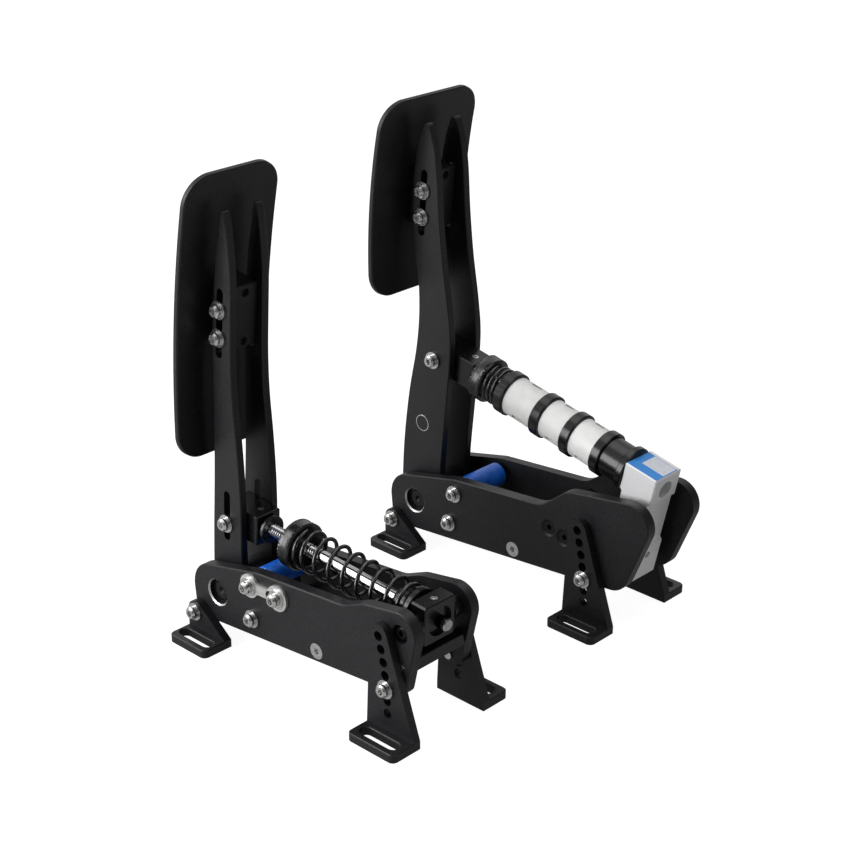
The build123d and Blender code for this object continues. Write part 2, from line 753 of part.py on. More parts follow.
def build_link():
    """The bow-tie link that sets the height of the bump roller."""
    bump, far = Vector(*throttle_bump_place), Vector(*link_far_place)
    middle, span = (bump + far) / 2, (far - bump).length
    lean = degrees(atan2(far.Y - bump.Y, far.X - bump.X))
    with BuildPart() as link:
        with BuildSketch(throttle_base.offset(plate_outside)) as outline:
            with Locations(bump):
                Circle(link_bump_radius)
            with Locations(far):
                Circle(link_far_radius)
            with Locations(middle):
                Rectangle(span, link_waist, rotation=lean)
            fillet(outline.vertices().sort_by_distance(middle)[:4], link_blend_radius)
            with Locations(far - (far - bump).normalized() * (link_slot_length - bolt_hole_d) / 2):
                SlotOverall(link_slot_length, bolt_hole_d, rotation=lean, mode=Mode.SUBTRACT)
            with Locations(bump):
                Circle(bolt_hole_d / 2, mode=Mode.SUBTRACT)
        extrude(amount=link_thickness)
    keep(link, "throttle_adjuster_link")


def build_spring_seat(rod_frame, block_front_place):
    """The black sleeve and flange that the throttle spring pushes against."""
    flange_start = seat_flange_start(block_front_place)
    bore_d = rod_d + 2 * running_play
    with BuildPart() as spring_seat:
        face = along(rod_frame, flange_start)
        turned(face, -seat_sleeve_length, 0, seat_sleeve_d, bore_d, head_edge_break)
        turned(face, 0, seat_flange_length, seat_flange_d, bore_d, head_edge_break)
        turned(face, seat_flange_length, block_front_place - flange_start, seat_neck_d, bore_d)
    keep(spring_seat, "throttle_spring_seat")


def seat_flange_start(block_front_place):
    return block_front_place - seat_neck_length - seat_flange_length


def build_rear_block(rod_frame, centre):
    with BuildPart() as block:
        with BuildSketch(along(rod_frame, centre - rear_block_depth / 2)):
            Rectangle(rear_block_width, rear_block_height)
        extrude(amount=rear_block_depth)
        chamfer(block.edges().filter_by(Axis(rod_frame.origin, rod_frame.x_dir)), block_edge_break)
        rear_face = along(rod_frame, centre + rear_block_depth / 2)
        chamfer(block.faces().sort_by(Axis(rod_frame.origin, rod_frame.x_dir))[-1].edges(), block_edge_break / 2)
        turned(rear_face, -rear_bore_depth, cut_overrun, rear_bore_d, mode=Mode.SUBTRACT)
        plain_hole(rear_face, rod_d + 2 * running_play)
        for depth in (rear_block_width / 2, -rear_block_width / 2):
            face = seat(throttle_base, rear_pivot_place, depth)
            turned(face, -trunnion_thread_depth, cut_overrun, bolt_hole_d, mode=Mode.SUBTRACT)
        top = Plane(rod_frame.from_local_coords((centre, rear_block_height / 2, 0)),
                    x_dir=rod_frame.x_dir, z_dir=rod_frame.y_dir)
        turned(top, -set_screw_depth, cut_overrun, set_screw_d, mode=Mode.SUBTRACT)
    keep(block, "throttle_rear_block")


def build_sensor():
    """A magnet in the axle's far end and the potted sensor that reads it."""
    axle_end = seat(throttle_base, axle_place, axle_recess - plate_outside)
    with BuildPart() as magnet:
        turned(axle_end, magnet_stand - magnet_length, magnet_stand, magnet_d)
    keep(magnet, "throttle_magnet")
    with BuildPart() as sensor:
        start = magnet_stand + sensor_gap
        turned(axle_end, start, start + sensor_length, bush_d - 2 * running_play)
    keep(sensor, "throttle_position_sensor")


def build_throttle_frame_fasteners():
    with BuildPart() as fasteners:
        for side in (1, -1):
            outside = side * plate_outside
            bump_outside = plate_outside + link_thickness if side > 0 else -plate_outside
            bolt(seat(throttle_base, throttle_bump_place, bump_outside), abs(bump_outside) - frame_gap / 2 + thread_depth)
            bolt(seat(throttle_base, stop_place, outside), plate_thickness + thread_depth)
            sunk_screw(seat(throttle_base, tie_place, outside), sunk_head_d, bolt_d,
                       plate_thickness + thread_depth, bolt_socket)
            sunk_screw(seat(throttle_base, rear_bar_place, outside), small_screw_head_d, small_screw_d,
                       plate_thickness + thread_depth / 2, small_socket)
            trunnion = seat(throttle_base, rear_pivot_place, outside - side * trunnion_recess_depth)
            turned(trunnion, rear_block_width / 2 - abs(outside) + trunnion_recess_depth - trunnion_thread_depth, 0, bolt_d)
            bolt_head(trunnion.offset(seat_play))
        bolt(seat(throttle_base, link_far_place, plate_outside + link_thickness), plate_thickness + link_thickness)
    keep(fasteners, "throttle_frame_fasteners")


# Brake only

def build_stack(rod_frame):
    """Rings and elastomers in turn along the rod, then the bush and disc that end the stack."""
    place = stack_start
    bore_d = rod_d + 2 * running_play
    for count, ring_length in enumerate(ring_lengths, start=1):
        with BuildPart() as ring:
            turned(along(rod_frame, place), 0, ring_length, ring_d, bore_d, ring_edge_break)
        keep(ring, f"brake_ring_{count}")
        place += ring_length
        if count <= len(elastomer_lengths):
            length = elastomer_lengths[count - 1]
            with BuildPart() as elastomer:
                turned(along(rod_frame, place), stack_play, length - stack_play, elastomer_d, bore_d, head_edge_break)
            keep(elastomer, f"brake_elastomer_{count}")
            place += length
    with BuildPart() as stack_seat:
        face = along(rod_frame, place)
        turned(face, stack_play, seat_bush_length, seat_bush_d, bore_d)
        turned(face, seat_bush_length - seat_groove_width, seat_bush_length, seat_bush_d + cut_overrun,
               seat_groove_d, mode=Mode.SUBTRACT)
        turned(face, seat_bush_length, seat_bush_length + seat_disc_length, seat_disc_d, bore_d, ring_edge_break)
    keep(stack_seat, "brake_stack_seat")
    return place + seat_bush_length + seat_disc_length + seat_tilt_gap


def build_load_cell(rod_frame, front):
    rear_face = along(rod_frame, front + cell_depth)
    middle = cell_top - cell_length / 2
    waist_middle = cell_top - cell_waist_top - cell_waist_length / 2
    with BuildPart() as cell:
        with BuildSketch(along(rod_frame, front)):
            with Locations((0, middle)):
                Rectangle(cell_width, cell_length)
        extrude(amount=cell_depth)
        chamfer(cell.edges(), cell_edge_break)
        with BuildSketch(rod_frame):
            for place in (front, front + cell_depth):
                with Locations((place, waist_middle)):
                    SlotOverall(cell_waist_length, 2 * cell_waist_recess, rotation=90)
            with Locations((front + cell_depth / 2, cell_top - cell_window_drop - cell_window_spacing / 2)):
                SlotCenterToCenter(cell_window_spacing, cell_window_d, rotation=90)
        extrude(amount=cell_width, both=True, mode=Mode.SUBTRACT)
        plain_hole(rear_face, cell_bore_d)
        plain_hole(along(rod_frame, front + cell_depth, cell_top - cell_bolt_drop), cell_bolt_bore)
    keep(cell, "brake_load_cell")


def build_cell_mount(rod_frame, front):
    middle = cell_top - cell_mount_drop
    with BuildPart() as mount:
        with BuildSketch(rod_frame.offset(-frame_gap / 2)):
            with Locations((front - cell_mount_length / 2, middle)):
                RectangleRounded(cell_mount_length, cell_mount_height, block_edge_break)
        extrude(amount=frame_gap)
        for place in mount_screw_places(front):
            for depth in (frame_gap / 2, -frame_gap / 2):
                turned(seat(rod_frame, place, depth), -thread_depth - cut_overrun, cut_overrun, bolt_hole_d,
                       mode=Mode.SUBTRACT)
        turned(along(rod_frame, front, cell_top - cell_bolt_drop), -thread_depth - cut_overrun, cut_overrun,
               cell_bolt_bore, mode=Mode.SUBTRACT)
    keep(mount, "brake_cell_mount")


def mount_screw_places(front):
    return [(front - mount_screw_setback - step * mount_screw_spacing, cell_top - cell_mount_drop) for step in (0, 1)]


def build_brake_frame_fasteners(rod_frame, front):
    with BuildPart() as fasteners:
        for outside in (plate_outside, -plate_outside):
            bolt(seat(brake_base, brake_bump_place, outside), plate_thickness + thread_depth)
            bolt(seat(brake_base, stop_place, outside), plate_thickness + thread_depth)
            sunk_screw(seat(brake_base, tie_place, outside), sunk_head_d, bolt_d,
                       plate_thickness + thread_depth, bolt_socket)
        cell_bolt = along(rod_frame, front, cell_top - cell_bolt_drop)
        turned(cell_bolt, -thread_depth, cell_depth - thread_depth / 2, cell_bolt_bore - 2 * bolt_play)
    keep(fasteners, "brake_frame_fasteners")


def build_mount_screws(rod_frame, front):
    """Countersunk screws that stand a little below the side plates' faces."""
    sunk = (black_recess_d - black_screw_head_d) / 2
    with BuildPart() as screws:
        for place in mount_screw_places(front):
            for side in (1, -1):
                sunk_screw(seat(rod_frame, place, side * (plate_outside - sunk)), black_screw_head_d, bolt_d,
                           plate_thickness + thread_depth - sunk, bolt_socket)
    keep(screws, "brake_mount_screws")


# Throttle

throttle_base = upright_plane((foot_bolt_setback - origin_setback, -pedal_spacing / 2, foot_bolt_height), base_tilt)
throttle_arm_frame = upright_plane(throttle_base.from_local_coords((*axle_place, 0)))
throttle_heel_frame = upright_plane(throttle_arm_frame.origin, base_tilt)
throttle_pad_frame = upright_plane(throttle_arm_frame.from_local_coords((*throttle_pad_place, 0)), -throttle_pad_lean)
throttle_front_pivot = throttle_arm_frame.from_local_coords((*throttle_pivot_place, 0))
throttle_rear_pivot = throttle_base.from_local_coords((*rear_pivot_place, 0))
rod_run = throttle_rear_pivot - throttle_front_pivot
throttle_rod_frame = upright_plane(throttle_front_pivot, degrees(atan2(rod_run.Z, rod_run.X)))
throttle_pad_bolts = [on_slot(throttle_pad_slot_place, throttle_pad_slot_lean,
                              throttle_pad_bolt_rise + step * pad_bolt_spacing / 2) for step in (-1, 1)]
rear_block_front = rod_run.length - rear_block_depth / 2
collar_start = throttle_block_rear + collar_washer_length
throttle_tip = rod_run.length + rear_block_depth / 2 + rod_tip_reach

build_side_plates("throttle", throttle_base, throttle_top_shares, throttle_rear_radius, throttle_heel_share,
                  throttle_heel_radius, [throttle_bump_place, link_far_place],
                  [(tie_place, sunk_head_d, bolt_d), (rear_bar_place, small_screw_head_d, small_screw_d)])
build_foot("throttle_front", throttle_base, -foot_bolt_setback, front_foot_length, 1)
build_foot("throttle_rear", throttle_base, rear_foot_setback, rear_foot_length, level_count)
build_foot_fasteners("throttle", throttle_base)
build_spacers("throttle", throttle_base, throttle_bump_place, throttle_cross_pieces)
build_throttle_frame_fasteners()
build_roller("throttle", throttle_base, throttle_bump_place, throttle_bump_d)
build_link()
build_bushes("throttle", throttle_base)
build_axle("throttle", throttle_base, True)
build_sensor()
build_heel("throttle", throttle_heel_frame, throttle_bump_place, throttle_bump_d, throttle_travel)
build_arms("throttle", throttle_arm_frame, throttle_heel_frame, throttle_arm_width, throttle_arm_height,
           throttle_arm_shares, throttle_hub_radius, throttle_hub_offset,
           [(throttle_pad_slot_place, pad_slot_length, throttle_pad_slot_lean),
            (throttle_pivot_slot_place, throttle_pivot_slot_length, throttle_pivot_slot_lean)], [], [])
build_pad("throttle", throttle_pad_frame, throttle_pad_width, throttle_pad_height, throttle_pad_bend_radius,
          throttle_bracket_rise)
build_bracket("throttle", throttle_arm_frame, throttle_pad_frame, throttle_pad_bend_radius, throttle_bracket_rear,
              throttle_bracket_rise, throttle_pad_bolts)
build_arm_fasteners("throttle", throttle_arm_frame, throttle_heel_frame, throttle_pad_frame, throttle_pad_bolts,
                    throttle_pivot_place, throttle_bracket_rise, throttle_bracket_rear)
build_front_block("throttle", throttle_rod_frame, throttle_block_rear)
build_rod("throttle", throttle_rod_frame, throttle_tip, throttle_block_rear)
build_nuts("throttle", throttle_rod_frame, throttle_nut_start, collar_start)
build_spring("throttle", throttle_rod_frame, throttle_nut_start + nut_length, seat_flange_start(rear_block_front),
             throttle_wire_d, throttle_spring_turns, throttle_spring_ramp_turns, throttle_spring_end_pitch)
build_spring_seat(throttle_rod_frame, rear_block_front)
build_rear_block(throttle_rod_frame, rod_run.length)

# Brake

brake_base = upright_plane((foot_bolt_setback - brake_lead - origin_setback, pedal_spacing / 2, foot_bolt_height),
                           base_tilt)
brake_arm_frame = upright_plane(brake_base.from_local_coords((*axle_place, 0)))
brake_heel_frame = upright_plane(brake_arm_frame.origin, base_tilt)
brake_pad_frame = upright_plane(brake_arm_frame.from_local_coords((*brake_pad_place, 0)), -brake_pad_lean)
brake_rod_frame = upright_plane(brake_arm_frame.from_local_coords((*brake_pivot_place, 0)), -brake_rod_slope)
brake_pad_bolts = [on_slot(brake_pad_slot_place, brake_pad_slot_lean,
                           brake_pad_bolt_rise + step * pad_bolt_spacing / 2) for step in (-1, 1)]

cell_front = build_stack(brake_rod_frame)
mount_holes = [brake_base.to_local_coords(Vector(brake_rod_frame.from_local_coords((*place, 0))))
               for place in mount_screw_places(cell_front)]
build_side_plates("brake", brake_base, brake_top_shares, brake_rear_radius, brake_heel_share, brake_heel_radius,
                  [brake_bump_place], [(tie_place, sunk_head_d, bolt_d)]
                  + [((hole.X, hole.Y), black_recess_d, bolt_d) for hole in mount_holes])
build_foot("brake_front", brake_base, -foot_bolt_setback, front_foot_length, 1)
build_foot("brake_rear", brake_base, rear_foot_setback, rear_foot_length, level_count)
build_foot_fasteners("brake", brake_base)
build_spacers("brake", brake_base, brake_bump_place, None)
build_brake_frame_fasteners(brake_rod_frame, cell_front)
build_mount_screws(brake_rod_frame, cell_front)
build_roller("brake", brake_base, brake_bump_place, brake_bump_d)
build_bushes("brake", brake_base)
build_axle("brake", brake_base, False)
build_heel("brake", brake_heel_frame, brake_bump_place, brake_bump_d, brake_travel)
build_arms("brake", brake_arm_frame, brake_heel_frame, brake_arm_width, brake_arm_height, brake_arm_shares,
           brake_hub_radius, brake_hub_offset,
           [(brake_pad_slot_place, pad_slot_length, brake_pad_slot_lean)], [brake_pivot_place], [insert_place])
build_pad("brake", brake_pad_frame, brake_pad_width, brake_pad_height, brake_pad_bend_radius, brake_bracket_rise)
build_bracket("brake", brake_arm_frame, brake_pad_frame, brake_pad_bend_radius, brake_bracket_rear,
              brake_bracket_rise, brake_pad_bolts)
build_arm_fasteners("brake", brake_arm_frame, brake_heel_frame, brake_pad_frame, brake_pad_bolts,
                    brake_pivot_place, brake_bracket_rise, brake_bracket_rear)
build_front_block("brake", brake_rod_frame, brake_block_rear)
build_rod("brake", brake_rod_frame, cell_front + brake_rod_reach)
build_nuts("brake", brake_rod_frame, brake_nut_start)
build_spring("brake", brake_rod_frame, brake_nut_start + nut_length, stack_start, brake_wire_d,
             brake_spring_turns, 0, 0)
build_load_cell(brake_rod_frame, cell_front)
build_cell_mount(brake_rod_frame, cell_front)
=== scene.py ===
import json
from math import atan2, cos, degrees, hypot, pi, radians, sin
import bmesh
import bpy
from mathutils import Matrix, Vector


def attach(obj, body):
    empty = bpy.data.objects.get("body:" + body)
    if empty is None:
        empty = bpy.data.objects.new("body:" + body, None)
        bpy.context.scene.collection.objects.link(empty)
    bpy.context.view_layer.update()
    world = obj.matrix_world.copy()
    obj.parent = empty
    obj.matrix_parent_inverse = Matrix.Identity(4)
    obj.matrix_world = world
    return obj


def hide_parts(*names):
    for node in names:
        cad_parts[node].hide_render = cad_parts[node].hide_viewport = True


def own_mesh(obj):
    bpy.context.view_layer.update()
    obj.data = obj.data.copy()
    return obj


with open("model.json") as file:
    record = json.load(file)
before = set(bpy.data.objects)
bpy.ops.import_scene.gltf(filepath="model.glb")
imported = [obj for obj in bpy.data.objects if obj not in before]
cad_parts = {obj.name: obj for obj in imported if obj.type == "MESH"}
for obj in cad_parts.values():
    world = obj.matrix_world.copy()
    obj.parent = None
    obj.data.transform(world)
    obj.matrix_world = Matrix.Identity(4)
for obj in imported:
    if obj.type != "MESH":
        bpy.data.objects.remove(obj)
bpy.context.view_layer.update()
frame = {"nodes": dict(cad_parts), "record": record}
mm = 0.001
bpy.context.scene.view_settings.view_transform = "Standard"
print("frame loaded:", len(frame["nodes"]), "nodes")

# where the rods lie in the part's frame: front pivot in mm, slope below level in degrees
throttleRod = {"pivot": (-96.6976, -98.75, 86.8071), "slope": 3.2259, "diameter": 8.8, "tip": 192.77,
               "threadEnd": 76.0, "shoulder": (23.6, 25.4, 15.0)}
brakeRod = {"pivot": (-88.6976, 98.75, 152.0071), "slope": 12.3, "diameter": 8.8, "tip": 188.9,
            "threadEnd": 60.0, "shoulder": None}


# shared helpers

def linearColour(hexCode):
    channels = [int(hexCode[i:i + 2], 16) / 255 for i in (1, 3, 5)]
    return [c / 12.92 if c <= 0.04045 else ((c + 0.055) / 1.055) ** 2.4 for c in channels] + [1]


def addNode(tree, kind, settings, links=None):
    # a setting is an input's name or number, or else a property of the node
    node = tree.nodes.new("ShaderNode" + kind)
    for name, value in settings.items():
        if isinstance(name, int) or name in node.inputs:
            node.inputs[name].default_value = value
        else:
            setattr(node, name, value)
    for name, output in (links or {}).items():
        tree.links.new(output, node.inputs[name])
    return node


def startMaterial(name, shader):
    material = bpy.data.materials.new(name)
    material.use_nodes = True
    tree = material.node_tree
    tree.nodes.clear()
    surface = addNode(tree, "BsdfPrincipled", shader)
    addNode(tree, "OutputMaterial", {}, {"Surface": surface.outputs["BSDF"]})
    place = addNode(tree, "TexCoord", {})
    return material, tree, surface, place.outputs["Object"]


def noise(tree, place, sizeMm, detail=2.0, roughness=0.5):
    return addNode(tree, "TexNoise", {"Scale": 1 / (sizeMm * mm), "Detail": detail, "Roughness": roughness},
                   {"Vector": place}).outputs["Fac"]


def tone(tree, surface, factor, darkHex, lightHex, low=0.3, high=0.7):
    ramp = addNode(tree, "ValToRGB", {}, {"Fac": factor})
    ramp.color_ramp.elements[0].color = linearColour(darkHex)
    ramp.color_ramp.elements[0].position = low
    ramp.color_ramp.elements[1].color = linearColour(lightHex)
    ramp.color_ramp.elements[1].position = high
    tree.links.new(ramp.outputs["Color"], surface.inputs["Base Color"])


def gloss(tree, surface, factor, low, high):
    span = addNode(tree, "MapRange", {"From Min": 0.3, "From Max": 0.7, "To Min": low, "To Max": high},
                   {"Value": factor})
    tree.links.new(span.outputs["Result"], surface.inputs["Roughness"])


def bump(tree, surface, factor, depthMm):
    relief = addNode(tree, "Bump", {"Strength": 1.0, "Distance": depthMm * mm}, {"Height": factor})
    tree.links.new(relief.outputs["Normal"], surface.inputs["Normal"])


def rodMatrix(rod):
    return Matrix.Translation(Vector(rod["pivot"]) * mm) @ Matrix.Rotation(radians(rod["slope"]), 4, "Y")


def finishPiece(mesh, name, body, material, replaces=(), matrix=None, softAngle=35):
    if matrix is not None:
        bmesh.ops.transform(mesh, matrix=matrix, verts=mesh.verts)
    for face in mesh.faces:
        face.smooth = True
    for edge in mesh.edges:
        edge.smooth = len(edge.link_faces) == 2 and edge.calc_face_angle() < radians(softAngle)
    data = bpy.data.meshes.new(name)
    mesh.to_mesh(data)
    mesh.free()
    piece = bpy.data.objects.new(name, data)
    bpy.context.scene.collection.objects.link(piece)
    for each in material if isinstance(material, list) else [material]:
        data.materials.append(each)
    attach(piece, body)
    if replaces:
        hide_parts(*replaces)
    return piece


# in metres, how near two corners lie to be one
mergeDistance = {"axis": 1e-9, "spun": 1e-6, "cad": 2e-6, "thread": 1e-5, "cut": 1e-7}


def spinProfile(mesh, profileMm, steps):
    # profile points are (along the rod, radius); the profile is closed, and its ends may lie on the axis
    points = [mesh.verts.new((along * mm, 0, radius * mm)) for along, radius in profileMm]
    lines = [mesh.edges.new(pair) for pair in zip(points, points[1:] + points[:1])
             if hypot(pair[0].co.y, pair[0].co.z) + hypot(pair[1].co.y, pair[1].co.z) > mergeDistance["axis"]]
    bmesh.ops.spin(mesh, geom=points + lines, cent=(0, 0, 0), axis=(1, 0, 0), dvec=(0, 0, 0),
                   angle=2 * pi, steps=steps, use_merge=True, use_duplicate=False)
    bmesh.ops.remove_doubles(mesh, verts=mesh.verts, dist=mergeDistance["spun"])
    bmesh.ops.recalc_face_normals(mesh, faces=mesh.faces)


def bevelledRing(start, end, outer, bore, edge):
    return [(start, bore), (start, outer - edge), (start + edge, outer),
            (end - edge, outer), (end, outer - edge), (end, bore)]


def copyNode(node, name, material, body, softAngle=35):
    # a CAD node's own shape with its loose triangles merged, so that it shades smoothly
    mesh = bmesh.new()
    mesh.from_mesh(frame["nodes"][node].data)
    bmesh.ops.remove_doubles(mesh, verts=mesh.verts, dist=mergeDistance["cad"])
    return finishPiece(mesh, name, body, material, replaces=[node], softAngle=softAngle)


# materials, each from what the real finish is

bareRim = {"outerFade": 0.08, "innerGap": 0.04, "innerFull": 0.1, "metal": "#c9c9c9"}


def texturedPowderCoat(name="texturedPowderCoat", bareBore=None):
    # fine-texture black powder coat on aluminium: matt, with a tiny orange-peel grain of about 0.4 mm,
    # drawn at 1.2 mm so that it shows; a side plate's axle bore has a machined rim of bare metal
    material, tree, surface, place = startMaterial(name, {"IOR": 1.5, "Specular IOR Level": 0.35})
    grain = noise(tree, place, 1.2, detail=3.0, roughness=0.65)
    cloud = noise(tree, place, 28.0)
    tone(tree, surface, grain, "#09090b", "#202024", 0.36, 0.72)
    gloss(tree, surface, cloud, 0.38, 0.46)
    bump(tree, surface, grain, 0.09)
    if bareBore:
        centred = addNode(tree, "Mapping", {"Location": (-bareBore["x"] * mm, 0, -bareBore["z"] * mm),
                                            "Scale": (1, 0, 1)}, {"Vector": place})
        radius = addNode(tree, "VectorMath", {"operation": "LENGTH"}, {"Vector": centred.outputs["Vector"]})
        rim = addNode(tree, "MapRange", {"From Min": bareBore["rim"] * mm,
                                         "From Max": (bareBore["rim"] + bareRim["outerFade"]) * mm,
                                         "To Min": 1.0, "To Max": 0.0}, {"Value": radius.outputs["Value"]})
        wall = addNode(tree, "MapRange", {"From Min": (bareBore["wall"] + bareRim["innerGap"]) * mm,
                                          "From Max": (bareBore["wall"] + bareRim["innerFull"]) * mm},
                       {"Value": radius.outputs["Value"]})
        bare = addNode(tree, "Math", {"operation": "MULTIPLY"},
                       {0: rim.outputs["Result"], 1: wall.outputs["Result"]})
        coated = surface.inputs["Base Color"].links[0].from_socket
        # inputs 0, 6 and 7 of a colour mix are its factor and its two colours
        mix = addNode(tree, "Mix", {"data_type": "RGBA", 7: linearColour(bareRim["metal"])},
                      {0: bare.outputs[0], 6: coated})
        tree.links.new(mix.outputs[2], surface.inputs["Base Color"])
        tree.links.new(bare.outputs[0], surface.inputs["Metallic"])
    return material


def stainlessSteel():
    # machined stainless screws and washers: bright, with faint turning marks about 0.3 mm apart, drawn
    # at 1.2 mm so that they show
    material, tree, surface, place = startMaterial("stainlessSteel", {"Metallic": 1.0})
    marks = noise(tree, place, 1.2, detail=3.0)
    tone(tree, surface, marks, "#bfbfbf", "#e2e2e0")
    gloss(tree, surface, marks, 0.16, 0.28)
    return material


# the link's slope in degrees, and the share that draws a scratch out along it
linkBrush = {"slope": 5.5, "stretch": 0.04}


def brushedStainless():
    # laser-cut stainless link, brushed along its length: scratches about 0.25 mm apart, drawn at 0.35 mm
    material, tree, surface, place = startMaterial("brushedStainless", {"Metallic": 0.8, "Anisotropic": 0.4})
    stretch = addNode(tree, "Mapping", {"Rotation": (0, radians(linkBrush["slope"]), 0),
                                        "Scale": (linkBrush["stretch"], 1.0, 1.0)}, {"Vector": place})
    lines = noise(tree, stretch.outputs["Vector"], 0.35, detail=4.0)
    tone(tree, surface, lines, "#c6c6c4", "#e8e8e6")
    gloss(tree, surface, lines, 0.34, 0.46)
    bump(tree, surface, lines, 0.01)
    return material


def hardChrome():
    # hard-chromed rod: a slightly dark mirror with a faint haze in patches of about 9 mm
    material, tree, surface, place = startMaterial("hardChrome", {"Metallic": 1.0})
    haze = noise(tree, place, 9.0, detail=3.0)
    tone(tree, surface, haze, "#a4a4a8", "#bcbcbe")
    gloss(tree, surface, haze, 0.06, 0.12)
    return material


def beadBlastedNickel():
    # nickel-plated aluminium load cell: pale satin, with a grain of about 0.2 mm drawn at 0.5 mm
    material, tree, surface, place = startMaterial("beadBlastedNickel",
                                                   {"Metallic": 0.25, "Specular IOR Level": 0.5})
    grain = noise(tree, place, 0.5, detail=2.0)
    tone(tree, surface, grain, "#e2e2e4", "#efeff0")
    gloss(tree, surface, grain, 0.42, 0.5)
    bump(tree, surface, grain, 0.012)
    return material


def blackAnodisedAndSlitShade():
    # black anodised aluminium, turned and milled: a satin sheen with faint tool marks; the same black is also
    # painted shade on the walls and floors of the elastomer slits
    material, tree, surface, place = startMaterial("blackAnodisedAndSlitShade", {"IOR": 1.5, "Specular IOR Level": 0.4})
    marks = noise(tree, place, 0.9, detail=4.0)
    tone(tree, surface, marks, "#08080a", "#111113")
    gloss(tree, surface, marks, 0.2, 0.28)
    bump(tree, surface, marks, 0.01)
    return material


def blackKnurl():
    # knurled black anodised nut: matt, because the knurl's facets scatter the light
    material, tree, surface, place = startMaterial("blackKnurl", {"IOR": 1.6})
    wear = noise(tree, place, 2.0, detail=4.0)
    tone(tree, surface, wear, "#0a0a0b", "#19191b", 0.35, 0.75)
    gloss(tree, surface, wear, 0.23, 0.35)
    return material


def springEnamel():
    # stove-enamelled spring wire: deep black gloss
    material, tree, surface, place = startMaterial("springEnamel", {"IOR": 1.55, "Coat Weight": 0.5,
                                                                    "Coat Roughness": 0.08})
    haze = noise(tree, place, 4.0)
    tone(tree, surface, haze, "#08080a", "#101012")
    gloss(tree, surface, haze, 0.16, 0.24)
    return material


def blackOxide():
    # black oxide screws, slightly oily
    material, tree, surface, place = startMaterial("blackOxide", {"IOR": 1.5, "Specular IOR Level": 0.3})
    haze = noise(tree, place, 1.5)
    tone(tree, surface, haze, "#060607", "#0d0d0e")
    gloss(tree, surface, haze, 0.3, 0.4)
    return material


def castUrethane():
    # cast blue urethane rollers: satin with a soft skin
    material, tree, surface, place = startMaterial("castUrethane", {"IOR": 1.5, "Subsurface Weight": 0.1,
                                                                    "Subsurface Scale": 0.003})
    cloud = noise(tree, place, 5.0, detail=3.0)
    tone(tree, surface, cloud, "#0b58c2", "#1a6edc")
    gloss(tree, surface, cloud, 0.28, 0.38)
    bump(tree, surface, cloud, 0.02)
    return material


def mouldedElastomer():
    # white polyurethane spring elements: dense, slightly translucent and faintly mottled
    material, tree, surface, place = startMaterial("mouldedElastomer", {
        "IOR": 1.5, "Subsurface Weight": 0.15, "Subsurface Scale": 0.004,
        "Subsurface Radius": (1.0, 0.9, 0.8)})
    mottle = noise(tree, place, 7.0, detail=4.0)
    tone(tree, surface, mottle, "#e8e8e6", "#f3f3f1")
    gloss(tree, surface, mottle, 0.4, 0.5)
    bump(tree, surface, mottle, 0.03)
    return material


def printedFilm(name, darkHex, lightHex):
    # matt printed polyester film on the load cell
    material, tree, surface, place = startMaterial(name, {"IOR": 1.5})
    ink = noise(tree, place, 3.0, detail=2.0)
    tone(tree, surface, ink, darkHex, lightHex)
    gloss(tree, surface, ink, 0.34, 0.42)
    return material


def pottingResin():
    # black epoxy potting: smooth, with shallow sink marks
    material, tree, surface, place = startMaterial("pottingResin", {"IOR": 1.5})
    sink = noise(tree, place, 4.0, detail=2.0)
    tone(tree, surface, sink, "#0b0b0c", "#151516")
    gloss(tree, surface, sink, 0.2, 0.3)
    bump(tree, surface, sink, 0.08)
    return material


coat, steel, linkSteel, chrome = texturedPowderCoat(), stainlessSteel(), brushedStainless(), hardChrome()
nickel, anodisedAndSlitShade, knurl, enamel = beadBlastedNickel(), blackAnodisedAndSlitShade(), blackKnurl(), springEnamel()
oxide, urethane, elastomer, resin = blackOxide(), castUrethane(), mouldedElastomer(), pottingResin()
labelBlue = printedFilm("labelBlue", "#2488dc", "#2d92e6")
labelPale = printedFilm("labelPale", "#d6d9e2", "#e0e3ec")
finishes = {"black_coat": coat, "stainless_steel": steel, "polished_rod": chrome,
            "cell_aluminium": nickel, "black_anodised": anodisedAndSlitShade, "spring_steel": enamel,
            "black_screw": oxide, "blue_urethane": urethane, "pale_elastomer": elastomer,
            "potting": resin, "magnet": steel}
axleBores = {"throttle": {"x": -94.798, "z": 38.407, "rim": 10.12, "wall": 9.1},
             "brake": {"x": -95.898, "z": 38.407, "rim": 10.12, "wall": 9.1}}
special = {"throttle_adjuster_link": linkSteel}
for pedal, bore in axleBores.items():
    plateCoat = texturedPowderCoat(pedal + "PlateCoat", bore)
    special |= {pedal + "_side_plate_near": plateCoat, pedal + "_side_plate_far": plateCoat,
                pedal + "_axle": oxide, pedal + "_axle_bushes": anodisedAndSlitShade}
for part in frame["record"]["subparts"]:
    chosen = special.get(part["node"]) or finishes[part["material_slot"]]
    data = frame["nodes"][part["node"]].data
    data.materials.clear()
    data.materials.append(chosen)
print("materials on all nodes")


# knurled nuts on the rods

nutForm = {"radius": 17.3, "bore": 4.5, "edge": 1.0, "rows": 6, "teeth": 40, "depth": 0.75}
throttleNut = {"start": 50.3, "end": 60.9} | nutForm
brakeNut = {"start": 35.2, "end": 45.8} | nutForm
roundSteps = 64  # sides of a turned part
throttleCollar = {"start": 25.4, "end": 28.4, "radius": 10.0, "bore": 4.5, "edge": 0.5}


